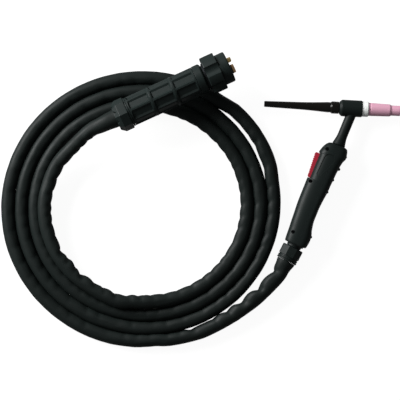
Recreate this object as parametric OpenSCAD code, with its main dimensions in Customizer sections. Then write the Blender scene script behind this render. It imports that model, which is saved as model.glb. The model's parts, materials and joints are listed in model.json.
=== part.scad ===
// TIG welding torch: head with ceramic cup and long back cap, two-shell switch handle,
// ball joint, sheathed hose in a flat coil, and a multi-pole machine connector.
// Millimetres. +Z is up from the surface that the torch lies on.

/* [Torch head] */
// Diameter of the rubber-covered head
head_d = 24.6; // [23.6:0.2:27]
// From the neck's axis back to the head's rear face
head_rear = 21.2; // [20:0.2:25]
// From the neck's axis forward to the head's front face
head_front = 12.3; // [11:0.1:15]
// Diameter of the white seat gasket
gasket_d = 22.4; // [20.6:0.2:24]
// Visible length of the seat gasket
gasket_len = 9.2; // [7:0.2:12]
// Tilt of the head, clockwise from +X
head_tilt = 3; // [0:0.5:6]

/* [Ceramic cup] */
// Length of the ceramic cup
cup_len = 46.8; // [42:0.2:60]
// Cup diameter at its base
cup_d = 19.5; // [18.6:0.1:21]
// Cup diameter at the shoulder
cup_shoulder_d = 17.9; // [17:0.1:18.5]
// Length of the wide part of the cup
cup_body_len = 32; // [30:0.5:36]
// Diameter of the cup's tip
cup_tip_d = 15.1; // [14:0.1:16]
// Bore of the cup's mouth
cup_bore = 11.1; // [9.6:0.1:12.6]

/* [Back cap] */
// Visible length of the back cap
cap_len = 110.5; // [90:0.5:125]
// Diameter of the fluted grip ring
cap_grip_d = 18; // [17:0.2:20]
// Length of the fluted grip ring
cap_grip_len = 11.3; // [8:0.1:14]
// Diameter of the cap's shaft beside the grip ring
cap_shaft_d = 15.6; // [14:0.2:16.6]
// Diameter of the cap's far end
cap_tip_d = 8.6; // [7.6:0.2:10]
// Number of flutes round the grip ring
cap_flutes = 8; // [6:1:12]

/* [Electrode and collet] */
// Diameter of the tungsten electrode
electrode_d = 2.4; // [1.6:0.1:2.6]
// Length of the tungsten electrode
electrode_len = 175; // [150:1:185]
// Length of electrode that stands out of the cup
stick_out = 3; // [1:0.5:8]
// Diameter of the collet
collet_d = 3.8; // [3.6:0.1:4.2]
// Thread diameter of the collet body, for the cup
cup_thread_d = 13.8; // [12.8:0.1:14.4]

/* [Neck] */
// From the head's centre down to the handle's top
neck_len = 58.5; // [50:0.5:75]
// Diameter of the covered neck
neck_d = 14.8; // [13.6:0.1:16]
// Outer diameter of the copper neck tube
neck_tube_d = 9; // [8:0.1:10]
// Bore of the copper neck tube
neck_tube_bore = 6; // [5:0.1:6.6]
// Tilt of the neck and handle, clockwise from +Y
handle_tilt = 22.5; // [20:0.5:25]

/* [Handle] */
// Length of the handle
handle_len = 160; // [156:0.5:185]
// Depth of the handle, from its resting flat to the top
handle_thick = 34; // [33:0.5:38]
// Wall of the handle shells
wall = 2.6; // [2:0.1:3]
// Reach of the grip to the trigger side
grip_left = 24.2; // [23.6:0.1:26]
// Reach of the thumb brow to the other side
brow_right = 18.4; // [17:0.1:21]
// Reach of the waist to that side
waist_right = 9.4; // [9:0.1:11]
// Reach of the socket end to the trigger side
socket_left = 20.3; // [20.1:0.1:23]
// Reach of the socket end to the other side
socket_right = 15.2; // [14.4:0.1:18]
// Diameter of the handle screws' shanks
screw_d = 2.9; // [2.5:0.1:3.2]
// Diameter of the handle screws' heads
screw_head_d = 5; // [4.6:0.1:5.2]

/* [Trigger and switch] */
// Length of the trigger
trigger_len = 37.7; // [36:0.1:40]
// Width of the trigger
trigger_w = 12; // [10:0.2:13]
// From the handle's top to the trigger's top
trigger_from_top = 22.1; // [21.5:0.1:24]
// How far the trigger stands out of its slot
trigger_proud = 6.2; // [4:0.1:8]
// Diameter of the trigger's pin
trigger_pin_d = 2.5; // [2:0.1:3]
// Length of the switch body
switch_len = 20; // [18:0.2:21]
// Thickness of the switch body
switch_w = 6.4; // [5.8:0.1:7.4]

/* [Ball joint] */
// Diameter of the ball
ball_d = 24.4; // [23.6:0.1:24.6]
// Thickness of the seat ring round the ball
seat_wall = 1.3; // [1:0.1:1.5]
// Offset of the ball from the neck's axis, to the trigger side
ball_offset = 3.2; // [2.8:0.1:3.6]
// Tilt of the hose's end, clockwise from +Y
hose_tilt = 27.5; // [24:0.5:30]
// Diameter of the clamping collar across its corners
collar_d = 33; // [31:0.5:34]
// Length of the clamping collar
collar_len = 15.3; // [13:0.1:18]

/* [Hose] */
// Outer diameter of the hose's sheath
hose_d = 18.6; // [17:0.1:18.6]
// Radius of the coil where it starts, at the bottom
coil_r = 199.9; // [190:0.1:210]
// Steady rate at which the coil draws in, per turn
coil_pitch = 19.5; // [19.5:0.05:21]
// How much further the coil reaches to the sides than up and down
coil_widen = 6.2; // [0:0.1:10]
// Bulge of the outer turn at the upper right
coil_bulge = 6; // [0:0.5:9]

/* [Connector] */
// Diameter of the coupling nut over its lobes
nut_d = 55.6; // [52:0.2:58]
// Length of the coupling nut
nut_len = 21.5; // [18:0.5:26]
// Number of lobes round the coupling nut
nut_lobes = 6; // [5:1:8]
// Diameter of the fluted grip
grip_d = 43.6; // [42.4:0.2:46]
// Length of each fluted grip segment
segment_len = 35.8; // [30:0.2:42]
// Number of flutes round the grip
grip_flutes = 8; // [6:1:9]
// Diameter of the front nose
nose_d = 45.6; // [44:0.2:48]
// Visible length of the front nose
nose_len = 14.7; // [12:0.1:18]
// Length of the gland nut at the rear
gland_len = 20.2; // [17:0.2:24]
// Diameter of the gland nut at the front
gland_d = 46.6; // [44:0.2:48]
// Diameter of the gland nut's rear face
gland_rear_d = 34.4; // [30:0.2:38]
// Diameter of the central plug
plug_d = 13.2; // [11:0.1:14]
// Diameter of the control pins
control_pin_d = 6.6; // [5:0.1:7]
// Length of plug and pins that stands out of the nose
pin_out = 5.8; // [4:0.1:10]

/* [Clearances] */
// Gap between pieces that move past each other
run_gap = 0.3; // [0.2:0.05:0.35]

/* [Hidden] */
$fn = 48;

// Place of the head's centre, and the height of the axes above the floor.
head_x = 30.5;
head_y = 106.4;
axis_z = handle_thick / 2;

// Head, along the electrode: stations from the head's centre.
cover_cone = 3.6;
cover_rear_d = 18.6;
core_d = 17;
core_rear = 17;
core_front = 6;
hub_d = 12.6;
hub_len = 15;
cap_thread_d = 10.4;
cap_thread_end = -9;
gasket_spigot_d = 18;
gasket_end = head_front + run_gap + gasket_len;
gasket_chamfer = 1.5;
collet_thread_d = 9.4;
collet_bore = collet_d + 2 * run_gap;
cup_start = gasket_end + run_gap;
cup_end = cup_start + cup_len;
cup_thread_len = 16;
thread_relief = 1.6;
gas_hole_d = 1.8;
collet_tip = cup_start + cup_thread_len + 14;
tip_x = cup_end + stick_out;
electrode_point = 6;
cap_front = -head_rear - 0.6;
cap_end = cap_front - cap_len;
cap_bore = electrode_d + 0.8;
o_ring_wire = 2.4;
o_ring_r = cap_thread_d / 2 + run_gap + o_ring_wire / 2;
seat_pocket_d = 2 * o_ring_r + o_ring_wire + 2 * run_gap;
o_ring_x = cap_front + run_gap + o_ring_wire / 2;

// Handle: distances u run down from the head's centre along the neck.
handle_top = neck_len;
handle_end = neck_len + handle_len;
flat_cut = 0.5;
grip_block = 3 * handle_thick;
cut = 2;
grip_half = handle_thick / 2 + flat_cut;
ring_sides = 28;
roundness = 2.5;
slot_gap = 0.4;
neck_in = 19;
trigger_top = handle_top + trigger_from_top;
trigger_bottom = trigger_top + trigger_len;
slot_top = trigger_top - 1.6;
slot_bottom = trigger_bottom + 1;
slot_left = 21.3;
trigger_out = slot_left + trigger_proud;
pivot_u = trigger_bottom - 5.3;
pivot_v = -17.5;
pivot_boss_r = trigger_pin_d / 2 + 1.5;
switch_mid = trigger_top + 15.4;
switch_face = -16;
switch_depth = 10;
plunger_d = 3;
plunger_out = 2;
plunger_travel = 1.63;
press_pad = switch_face - plunger_out - run_gap;
screw_places = [[-14, handle_top + 12.2], [-18.6, trigger_bottom + 5.3], [-13.8, handle_end - 16]];
screw_well_d = screw_head_d + 0.6;
screw_len = 16;
screw_seat = 5.5;
screw_boss_d = 8;
cavity_top = handle_top + 6;
cavity_end = handle_end - 28;
waist_end = handle_end - 45;
// Each row: station, reach to the trigger side, reach to the other side, half depth.
handle_rows = [
    [handle_top, 9.8, 9.8, 9.5],
    [handle_top + 1.8, 14.6, 14.4, 12.6],
    [handle_top + 6, 18.2, brow_right - 2, 14.8],
    [handle_top + 12.5, 21.2, brow_right - 0.6, grip_half - 1],
    [handle_top + 15.5, 22, brow_right, grip_half],
    [handle_top + 18.5, 22.7, brow_right - 1.8, grip_half],
    [slot_top, 22.9, brow_right - 2.4, grip_half],
    [slot_top + 0.4, slot_left, brow_right - 2.5, grip_half],
    [handle_top + 28.5, slot_left, 14.3, grip_half],
    [handle_top + 32, slot_left, 15.2, grip_half],
    [handle_top + 36.5, slot_left, 13.4, grip_half],
    [handle_top + 48, slot_left, 12.7, grip_half],
    [handle_top + 51.3, slot_left, 14, grip_half],
    [slot_bottom - 4.8, slot_left, 12.3, grip_half],
    [slot_bottom, slot_left, 12.1, grip_half],
    [slot_bottom + 0.6, grip_left, 12.1, grip_half],
    [slot_bottom + 6.4, grip_left, 12, grip_half],
    [slot_bottom + 9.4, grip_left, 12.7, grip_half],
    [slot_bottom + 12.4, grip_left, 11.8, grip_half],
    [slot_bottom + 23, grip_left - 0.2, 10.4, grip_half],
    [waist_end - 16, grip_left - 0.5, waist_right, grip_half],
    [waist_end, grip_left - 1.5, waist_right, grip_half],
    [cavity_end, socket_left + 1.3, waist_right + 2.6, grip_half],
    [handle_end - 20, socket_left + 0.6, socket_right - 0.6, grip_half],
    [handle_end - 12, socket_left + 0.2, socket_right, grip_half - 0.1],
    [handle_end - 4, socket_left - 0.3, socket_right - 1, grip_half - 0.5],
    [handle_end - 1.2, socket_left - 0.8, socket_right - 1.6, grip_half - 0.8],
    [handle_end, socket_left - 1.8, socket_right - 2.8, grip_half - 1.8]
];
cavity_rows = [for (row = handle_rows) if (row[0] >= cavity_top && row[0] <= cavity_end) row];

// Power line through the handle.
power_d = 8;
coupling_d = 13;
coupling_top = slot_bottom - 12;
coupling_len = 27;
neck_tube_end = coupling_top + 6;
power_start = coupling_top + 12;
power_turn = coupling_top + coupling_len + 4;
passage_d = 15;
wire_d = 1.8;

// Ball joint: distances s run from the ball's centre down the hose.
ball_u = handle_end - 3.2;
ball_r = ball_d / 2;
seat_r = ball_r + run_gap;
seat_out_r = seat_r + seat_wall;
socket_r = seat_out_r + run_gap;
seat_top = -8.5;
seat_bottom = 4.5;
ball_top = -9.2;
stem_d = 19.2;
ball_neck_d = 22;
stem_end = 20;
ball_bore = power_d + 1.2;
collar_start = 8.2;
collar_end = collar_start + collar_len;
clamp_d = 31;
clamp_len = 6.7;
clamp_start = collar_end + run_gap;
clamp_end = clamp_start + clamp_len;
boot_start = clamp_end + run_gap;
boot_len = 13;
boot_d = 29.4;
hose_start = boot_start + boot_len;
stub_d = ball_bore - 2 * run_gap;
ball_x = head_x - ball_offset * cos(handle_tilt) - ball_u * sin(handle_tilt);
ball_y = head_y + ball_offset * sin(handle_tilt) - ball_u * cos(handle_tilt);

// Hose: the coil's centre, its turns, and the routes of the two free stretches.
hose_r = hose_d / 2;
coil_x = -279.8;
coil_y = -38.2;
coil_drift = 0.4;
coil_turns = 3;
loop_rings = 24;
coil_sides = 6;
tube_sides = 12;
bulge_from = 0.48;
bulge_to = 0.82;
climb_from = 2.85;
coil_climb = 8;
sheath_swell = 3.6;

// Connector: distances a run from the gland's front face to the pins.
conn_x = -301.4;
conn_y = 99.4;
conn_tilt = 24.6;
conn_z = hose_d + 0.4 + nut_d / 2;
end_ring_len = 2.4;
segments = 3;
grip_start = end_ring_len + run_gap;
grip_end = grip_start + segments * segment_len;
flute_margin = 1.9;
flute_depth = 2.2;
flute_w = 9.4;
grip_bore = grip_d - 7;
collar_gap = 0.4;
front_collar_start = grip_end + collar_gap;
front_collar_len = 12.4;
front_collar_d = grip_d + 0.8;
sleeve_d = grip_bore - 0.6;
retainer_start = front_collar_start + front_collar_len + 1.6;
retainer_len = 1.4;
nut_start = retainer_start + retainer_len + run_gap;
scallop_d = 16;
scallop_depth = 3.4;
nut_turn = -5;
nose_start = nut_start + nut_len + run_gap;
nose_end = nose_start + nose_len;
sleeve_start = grip_end - 12;
plug_side = -5.4;
plug_start = grip_end + 4;
plug_bore = 5;
pin_side = 8.6;
pin_rise = 7.5;
pin_start = nose_start - 6;
pin_shank_d = control_pin_d + 1;
ferrule_d = 15;
ferrule_len = 24;
contact_end = nose_end + pin_out;
plug_chamfer = 1;
power_socket = 5;
plug_seal_wire = 1.5;
plug_groove_start = nose_end + 0.4;
plug_groove_len = 1.8;
plug_groove_depth = 1.2;
seal_d = hose_d + 2 * sheath_swell + 1.2;
seal_bore = power_d + 1;
wedge_notch = 3.4;

// ---- Frames ----

// Head: local Z runs along the electrode towards its point.
module along_head() {
    translate([head_x, head_y, axis_z]) rotate([0, 0, -head_tilt]) rotate([0, 90, 0]) children();
}

// Handle: local X runs across it, local -Y down it.
module in_handle() {
    translate([head_x, head_y, axis_z]) rotate([0, 0, -handle_tilt]) children();
}

// Handle: local Z runs down it, from the head's centre.
module down_handle(side = 0) {
    in_handle() translate([side, 0, 0]) rotate([90, 0, 0]) children();
}

// Hose end: local Z runs from the ball's centre down the hose.
module down_hose() {
    translate([ball_x, ball_y, axis_z]) rotate([0, 0, -hose_tilt]) rotate([90, 0, 0]) children();
}

// Connector: local Z runs to the pins, local Y to the upper left.
module along_connector() {
    translate([conn_x, conn_y, conn_z]) rotate([0, 0, conn_tilt]) rotate([0, 90, 0]) children();
}

// ---- Shared shapes ----

// Solid of revolution from [radius, height] points.
module turned(profile) {
    rotate_extrude($fn = 64) polygon(profile);
}

// Plain rod from one height to another.
module rod(from, to, d) {
    translate([0, 0, from]) cylinder(d = d, h = to - from);
}

function rounded(c) = sign(c) * pow(abs(c), 2 / roundness);

function handle_ring(row, inset) = [
    for (i = [0:ring_sides - 1])
        let (c = rounded(cos(360 * i / ring_sides)), s = rounded(sin(360 * i / ring_sides)))
        [c * ((c < 0 ? row[1] : row[2]) - inset), -row[0], s * (row[3] - inset)]
];

// Faces of a tube whose rings lie one after another in one list of points.
function tube_faces(rings, sides) = concat(
    [[for (i = [0:sides - 1]) i]],
    [for (k = [0:rings - 2]) for (i = [0:sides - 1])
        let (a = k * sides + i, b = k * sides + (i + 1) % sides)
        [a, a + sides, b]],
    [for (k = [0:rings - 2]) for (i = [0:sides - 1])
        let (a = k * sides + i, b = k * sides + (i + 1) % sides)
        [b, a + sides, b + sides]],
    [[for (i = [sides - 1:-1:0]) (rings - 1) * sides + i]]
);

module handle_loft(rows, inset) {
    points = [for (row = rows) each handle_ring(row, inset)];
    polyhedron(points, tube_faces(len(rows), ring_sides), convexity = 6);
}

// Direction of a route at one of its points.
function heading(route, k) =
    let (a = route[max(k - 1, 0)], b = route[min(k + 1, len(route) - 1)])
    (b - a) / norm(b - a);

// Ring of a hose at one point of its route, square to the route.
function hose_ring(route, k, r, sides) =
    let (t = heading(route, k), side = cross([0, 0, 1], t) / norm(cross([0, 0, 1], t)), up = cross(t, side))
    [for (i = [0:sides - 1])
        route[k] + r * (cos(360 * i / sides) * up + sin(360 * i / sides) * side)];

module hose(route, r, sides, swell = []) {
    points = [for (k = [0:len(route) - 1]) each hose_ring(route, k, r + (swell[k] == undef ? 0 : swell[k]), sides)];
    polyhedron(points, tube_faces(len(route), sides), convexity = 10);
}

// ---- Hose routes ----

// Radius of the coil after t turns from the bottom, clockwise seen from above.
function coil_radius(t) =
    coil_r - coil_pitch * t
    + (t > bulge_from && t < bulge_to
        ? coil_bulge * pow(sin(180 * (t - bulge_from) / (bulge_to - bulge_from)), 2) : 0);

function coil_point(t) = [
    coil_x + coil_drift * t - (coil_radius(t) + coil_widen) * sin(360 * t),
    coil_y - coil_radius(t) * cos(360 * t),
    hose_r + coil_climb * pow(max(0, t - climb_from) / (coil_turns - climb_from), 2)
];

function coil_heading(t) =
    let (ahead = coil_point(t + 0.001) - coil_point(t - 0.001))
    ahead / norm(ahead);

coil_step = 1 / loop_rings;
coil_turn_points = [for (t = [0:coil_step:coil_turns + coil_step / 2]) coil_point(t)];
last_turn_point = len(coil_turn_points) - 1;
coil_in = coil_heading(0);
coil_out = coil_heading(coil_turns);
coil_entry = coil_turn_points[0] - hose_d * coil_in;
coil_exit = coil_turn_points[last_turn_point] + hose_d * coil_out;
coil_route = concat([coil_entry], coil_turn_points, [coil_exit]);

hose_out = [-sin(hose_tilt), -cos(hose_tilt), 0];
lead_exit = [ball_x, ball_y, axis_z] + hose_start * hose_out;
lead_route = concat(
    [lead_exit, lead_exit + hose_d / 2 * hose_out],
    [[-98, -159, 15], [-124, -182, 13], [-156, -204, 11], [-188, -221, 9.8], [-216, -232.5, 9.4]],
    [coil_entry - hose_d * coil_in, coil_entry]
);

conn_out = [cos(conn_tilt), sin(conn_tilt), 0];
conn_left = [-sin(conn_tilt), cos(conn_tilt), 0];
// Point inside the connector, so far along its axis and so far to its upper left.
function conn_at(along, side) = [conn_x, conn_y, conn_z] + along * conn_out + side * conn_left;
tail_end = conn_at(-gland_len, 0);
tail_route = concat(
    [coil_exit, coil_exit + hose_d * coil_out],
    [[-347, -164, 22.5], [-380, -141, 22.5], [-407, -109, 22.5], [-422, -73, 22.5], [-426, -43, 22.5],
     [-423, -16, 22.5], [-408, 22, 25], [-385, 48, 31], [-359, 72, 40]],
    [tail_end - hose_d * conn_out, tail_end]
);
// Swelling of the sheath where it is drawn over the connector's rear end.
tail_swell = [for (k = [0:len(tail_route) - 1]) max(0, k - len(tail_route) + 4) * sheath_swell / 3];

function route_length(route, k = 1) =
    k < len(route) ? norm(route[k] - route[k - 1]) + route_length(route, k + 1) : 0;

// Least gap of the coil to itself, between points that are half a turn or more apart.
half_turn = loop_rings / 2;
coil_least_gap = min([for (i = [0:len(coil_route) - 1 - half_turn]) for (j = [i + half_turn:len(coil_route) - 1])
    norm(coil_route[i] - coil_route[j])]) - hose_d;
hose_length = route_length(lead_route) + route_length(coil_route) + route_length(tail_route);
echo(coil_least_gap = coil_least_gap, hose_length = hose_length);

// ---- Torch head ----

module head_cover() {
    color("#26292b")
    difference() {
        union() {
            along_head() {
                rod(-head_rear + cover_cone, head_front, head_d);
                translate([0, 0, -head_rear]) cylinder(d1 = cover_rear_d, d2 = head_d, h = cover_cone);
            }
            down_handle() {
                rod(4, handle_top + neck_in, neck_d);
                translate([0, 0, handle_top - run_gap - 9]) cylinder(d1 = neck_d, d2 = neck_d + 4.6, h = 9);
            }
        }
        along_head() {
            rod(-core_rear, core_front + 1, core_d);
            rod(-head_rear - 1, -core_rear + 1, seat_pocket_d);
            rod(core_front, head_front + 1, gasket_spigot_d);
        }
        down_handle() {
            rod(0, hub_len, hub_d);
            rod(0, handle_top + neck_in + 1, neck_tube_d);
        }
    }
}

module head_core() {
    color("#b08d3c")
    difference() {
        union() {
            along_head() rod(-core_rear, core_front, core_d);
            down_handle() rod(0, hub_len, hub_d);
        }
        along_head() {
            rod(-core_rear - 1, cap_thread_end + 1.5, cap_thread_d + 2 * run_gap);
            rod(-core_rear, core_front + 1, collet_bore);
            rod(-3.3, core_front + 1, collet_thread_d);
        }
        down_handle() {
            rod(0, hub_len + 1, neck_tube_bore - 1);
            rod(10, hub_len + 1, neck_tube_d);
        }
    }
}

module neck_tube() {
    color("#b87333")
    down_handle() difference() {
        rod(10, neck_tube_end, neck_tube_d);
        rod(9, neck_tube_end + 1, neck_tube_bore);
    }
}

module collet_body() {
    shoulder_r = collet_thread_d / 2 + 1.7;
    barrel_r = cup_thread_d / 2 - thread_relief;
    tip_r = collet_d / 2 + 1.3;
    thread_end = cup_start + cup_thread_len;
    barrel_end = thread_end + 5;
    color("#b87333")
    along_head() difference() {
        turned([
            [0, -3], [collet_thread_d / 2, -3], [collet_thread_d / 2, core_front + 0.2],
            [shoulder_r, core_front + 0.2], [shoulder_r, cup_start], [cup_thread_d / 2, cup_start],
            [cup_thread_d / 2, thread_end], [barrel_r, thread_end + thread_relief],
            [barrel_r, barrel_end], [tip_r, collet_tip], [0, collet_tip]
        ]);
        rod(-4, collet_tip - 3, collet_bore);
        rod(-4, collet_tip + 1, electrode_d + 0.4);
        for (i = [0:1]) translate([0, 0, (thread_end + thread_relief + barrel_end) / 2])
            rotate([0, 0, 90 * i]) rotate([90, 0, 0])
            cylinder(d = gas_hole_d, h = 2 * cup_thread_d, center = true, $fn = 24);
    }
}

module collet() {
    slot_len = 16;
    color("#c88a4a")
    along_head() difference() {
        rod(cap_thread_end + run_gap, collet_tip - 3 - run_gap, collet_d);
        rod(cap_thread_end - 1, collet_tip, electrode_d + 0.1);
        for (i = [0:1]) translate([0, 0, collet_tip - 3 - slot_len / 2]) rotate([0, 0, 90 * i])
            cube([collet_d + 1, 0.4, slot_len], center = true);
    }
}

module cup_gasket() {
    gasket_bore = collet_thread_d + 3.4 + 2 * run_gap;
    color("#e4e6e3")
    along_head() difference() {
        turned([
            [0, core_front + run_gap], [gasket_spigot_d / 2 - 0.1, core_front + run_gap],
            [gasket_spigot_d / 2 - 0.1, head_front + run_gap], [gasket_d / 2, head_front + run_gap],
            [gasket_d / 2, gasket_end - gasket_chamfer], [gasket_d / 2 - gasket_chamfer, gasket_end],
            [0, gasket_end]
        ]);
        rod(0, gasket_end + 1, gasket_bore);
    }
}

module ceramic_cup() {
    shoulder = cup_start + cup_body_len;
    color("#cf98ac")
    along_head() difference() {
        turned([
            [0, cup_start], [cup_d / 2 - 0.4, cup_start], [cup_d / 2, cup_start + 0.6],
            [cup_shoulder_d / 2, shoulder - 1], [cup_shoulder_d / 2 - 0.6, shoulder],
            [cup_tip_d / 2, shoulder + 1.6], [cup_tip_d / 2, cup_end - 1], [cup_tip_d / 2 - 0.8, cup_end],
            [0, cup_end]
        ]);
        rod(cup_start - 1, cup_start + cup_thread_len + 2, cup_thread_d + 2 * run_gap);
        rod(cup_start, cup_start + cup_body_len - 3, cup_thread_d - 1);
        rod(cup_start, cup_end + 1, cup_bore);
    }
}

module tungsten_electrode() {
    color("#8d9094")
    along_head() {
        rod(tip_x - electrode_len, tip_x - electrode_point, electrode_d);
        translate([0, 0, tip_x - electrode_point]) cylinder(d1 = electrode_d, d2 = 0.4, h = electrode_point);
    }
}

module back_cap() {
    grip_end_x = cap_front - cap_grip_len;
    flute_d = 3;
    color("#151617")
    along_head() difference() {
        turned([
            [0, cap_end], [cap_tip_d / 2 - 0.8, cap_end], [cap_tip_d / 2, cap_end + 0.8],
            [cap_tip_d / 2 + 1.5, grip_end_x - 34], [cap_shaft_d / 2, grip_end_x - 2.6],
            [cap_shaft_d / 2 - 0.5, grip_end_x - 1], [cap_grip_d / 2, grip_end_x + 0.8],
            [cap_grip_d / 2, cap_front - 0.8], [cap_grip_d / 2 - 0.8, cap_front],
            [cap_thread_d / 2, cap_front], [cap_thread_d / 2, cap_thread_end], [0, cap_thread_end]
        ]);
        rod(cap_end + 4, cap_thread_end + 1, cap_bore);
        for (i = [0:cap_flutes - 1]) rotate([0, 0, 360 * i / cap_flutes])
            translate([cap_grip_d / 2 + 0.7, 0, grip_end_x + 1.6])
            cylinder(d = flute_d, h = cap_grip_len, $fn = 24);
    }
}

module cap_o_ring() {
    color("#101010")
    along_head() translate([0, 0, o_ring_x]) rotate_extrude($fn = 48)
        translate([o_ring_r, 0]) circle(d = o_ring_wire, $fn = 24);
}

// ---- Handle ----

// Outer form of the handle, cut flat where it rests.
module handle_form() {
    difference() {
        handle_loft(handle_rows, 0);
        translate([-grip_block / 2, -handle_end - cut, -grip_half - cut])
            cube([grip_block, handle_len + 2 * cut, flat_cut + cut]);
    }
}

// Everything that both shells leave room for.
module handle_hollow() {
    slot_half = trigger_w / 2 + slot_gap;
    handle_loft(cavity_rows, wall);
    translate([0, -handle_top + 5, 0]) rotate([90, 0, 0]) cylinder(d = neck_d + 0.2, h = 20);
    translate([-ball_offset, -cavity_end + 1, 0]) rotate([90, 0, 0])
        cylinder(d = passage_d, h = ball_u - cavity_end);
    translate([-ball_offset, -ball_u, 0]) sphere(r = socket_r, $fn = 64);
    translate([-trigger_out - 10, -slot_bottom, -slot_half])
        cube([trigger_out + 10 + pivot_v + pivot_boss_r + slot_gap, slot_bottom - slot_top, 2 * slot_half]);
}

// Solid bosses inside one shell: round the screws and at the ends of the trigger's pin.
module handle_bosses() {
    ear_from = trigger_w / 2 + slot_gap + 0.2;
    for (place = [screw_places[0], screw_places[1]])
        translate([place[0], -place[1], 0]) cylinder(d = screw_boss_d, h = handle_thick);
    translate([pivot_v, -pivot_u, ear_from]) cylinder(r = pivot_boss_r + 1, h = handle_thick);
}

// Ribs of one shell that grip the neck's end and carry the coupling.
module handle_saddles(gap) {
    rib = 3;
    for (saddle = [[handle_top + neck_in - 5, neck_d], [coupling_top + 5, coupling_d],
                   [coupling_top + coupling_len - 8, coupling_d]])
        translate([0, -saddle[0], 0]) rotate([90, 0, 0]) difference() {
            translate([-saddle[1] / 2 - 1, 0, 0]) cube([saddle[1] + 2, handle_thick, rib]);
            translate([0, 0, -1]) cylinder(d = saddle[1] + 2 * gap, h = rib + 2);
        }
}

module thumb_recess() {
    depth = 1;
    translate([-5.6, -handle_top - 28, grip_half - depth]) rotate([0, 0, -12]) hull() {
        translate([0, 3, 0]) cylinder(d = 15, h = 10, $fn = 32);
        translate([-1.5, -22, 0]) cylinder(d = 5, h = 10, $fn = 32);
    }
}

module handle_shell(upper) {
    flip = upper ? 0 : 1;
    difference() {
        union() {
            difference() {
                handle_form();
                handle_hollow();
            }
            intersection() {
                handle_form();
                mirror([0, 0, flip]) union() {
                    handle_bosses();
                    handle_saddles(0.1);
                }
            }
        }
        mirror([0, 0, flip]) translate([-grip_block / 2, -handle_end - cut, -handle_thick])
            cube([grip_block, handle_len + 2 * cut, handle_thick]);
        mirror([0, 0, flip]) translate([pivot_v, -pivot_u, 0])
            cylinder(d = trigger_pin_d + 0.1, h = trigger_w / 2 + 3.1);
        if (upper) thumb_recess();
        for (place = screw_places) translate([place[0], -place[1], 0]) {
            if (upper) translate([0, 0, screw_seat]) cylinder(d = screw_well_d, h = handle_thick);
            translate([0, 0, screw_seat - screw_len]) cylinder(d = screw_d + 0.1, h = screw_len + 1);
        }
    }
}

module handle_upper() {
    color("#2b2e30") in_handle() handle_shell(true);
}

module handle_lower() {
    color("#2b2e30") in_handle() handle_shell(false);
}

module handle_screws() {
    head_h = 2.4;
    color("#1c1e20")
    in_handle() for (place = screw_places) translate([place[0], -place[1], screw_seat]) difference() {
        union() {
            cylinder(d = screw_head_d, h = head_h);
            translate([0, 0, -screw_len + 1]) cylinder(d = screw_d, h = screw_len);
        }
        for (turn = [0, 90]) rotate([0, 0, turn]) translate([0, 0, head_h]) cube([3, 0.7, 1.6], center = true);
    }
}

// ---- Trigger and switch ----

module trigger() {
    ribs = 9;
    pad_half = 3;
    rib_pitch = (trigger_len - 8) / ribs;
    color("#b5283c")
    in_handle() difference() {
        translate([0, 0, -trigger_w / 2]) linear_extrude(trigger_w) difference() {
            union() {
                polygon([
                    [-trigger_out + 1.4, -trigger_top], [-trigger_out, -trigger_top - 1.8],
                    [-trigger_out + 1.6, -trigger_bottom + 2.4], [-trigger_out + 3, -trigger_bottom],
                    [pivot_v, -pivot_u - pivot_boss_r], [pivot_v - 1.2, -pivot_u + pivot_boss_r],
                    [press_pad, -switch_mid - pad_half], [press_pad, -switch_mid + pad_half],
                    [press_pad - 1.2, -switch_mid + pad_half + 2], [press_pad - 1.2, -trigger_top]
                ]);
                translate([pivot_v, -pivot_u]) circle(r = pivot_boss_r);
            }
            translate([pivot_v, -pivot_u]) circle(d = trigger_pin_d + 0.1);
        }
        for (i = [0:ribs - 1]) translate([-trigger_out - 0.3 + 1.6 * i / ribs, -trigger_top - 5 - rib_pitch * i, 0])
            cube([1.8, 1.3, trigger_w + 2], center = true);
    }
}

module trigger_pin() {
    color("#a9adb0")
    in_handle() translate([pivot_v, -pivot_u, -trigger_w / 2 - 3]) cylinder(d = trigger_pin_d, h = trigger_w + 6);
}

// Square-section case with two through holes, on its side in the handle.
module switch_body() {
    hole_d = 2.4;
    color("#3a3d40")
    in_handle() difference() {
        translate([switch_face, -switch_mid - switch_len / 2, -switch_w / 2])
            cube([switch_depth, switch_len, switch_w]);
        translate([switch_face - 1, -switch_mid, 0]) rotate([0, 90, 0])
            cylinder(d = plunger_d + 2 * run_gap, h = 1 + 4 + plunger_travel + run_gap);
        for (end = [-1, 1]) translate([switch_face + switch_depth - 2.5, -switch_mid + 4.8 * end, -switch_w])
            cylinder(d = hole_d, h = 2 * switch_w);
    }
}

module switch_plunger() {
    color("#c9ccce")
    in_handle() translate([switch_face - plunger_out, -switch_mid, 0]) rotate([0, 90, 0])
        cylinder(d = plunger_d, h = plunger_out + 4);
}

// Two insulated leads from the switch down to the ball's mouth, beside the power cable.
module switch_wires() {
    wire_side = -ball_offset - power_d / 2 - run_gap - wire_d / 2;
    start_y = -switch_mid - switch_len / 2 - run_gap;
    bend_y = -coupling_top - coupling_len;
    color("#7c1f1f")
    in_handle() for (rise = [-wire_d / 2 - 0.2, wire_d / 2 + 0.2])
        hose([
            [switch_face + 3.4, start_y, rise], [switch_face + 3.4, start_y - 3, rise],
            [switch_face + 5, bend_y, rise], [wire_side - 0.8, -cavity_end, rise],
            [wire_side, -ball_u + socket_r + 1.5, rise]
        ], wire_d / 2, 8);
}

module power_coupling() {
    groove = 1;
    color("#b08d3c")
    down_handle() difference() {
        rod(coupling_top, coupling_top + coupling_len, coupling_d);
        rod(coupling_top - 1, neck_tube_end, neck_tube_d);
        rod(coupling_top, power_start + 1, neck_tube_bore);
        rod(power_start, coupling_top + coupling_len + 1, power_d);
        for (i = [0:2]) difference() {
            rod(power_start + 2 + 4 * i, power_start + 3.4 + 4 * i, coupling_d + 1);
            rod(power_start, coupling_top + coupling_len, coupling_d - groove);
        }
    }
}

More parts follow.
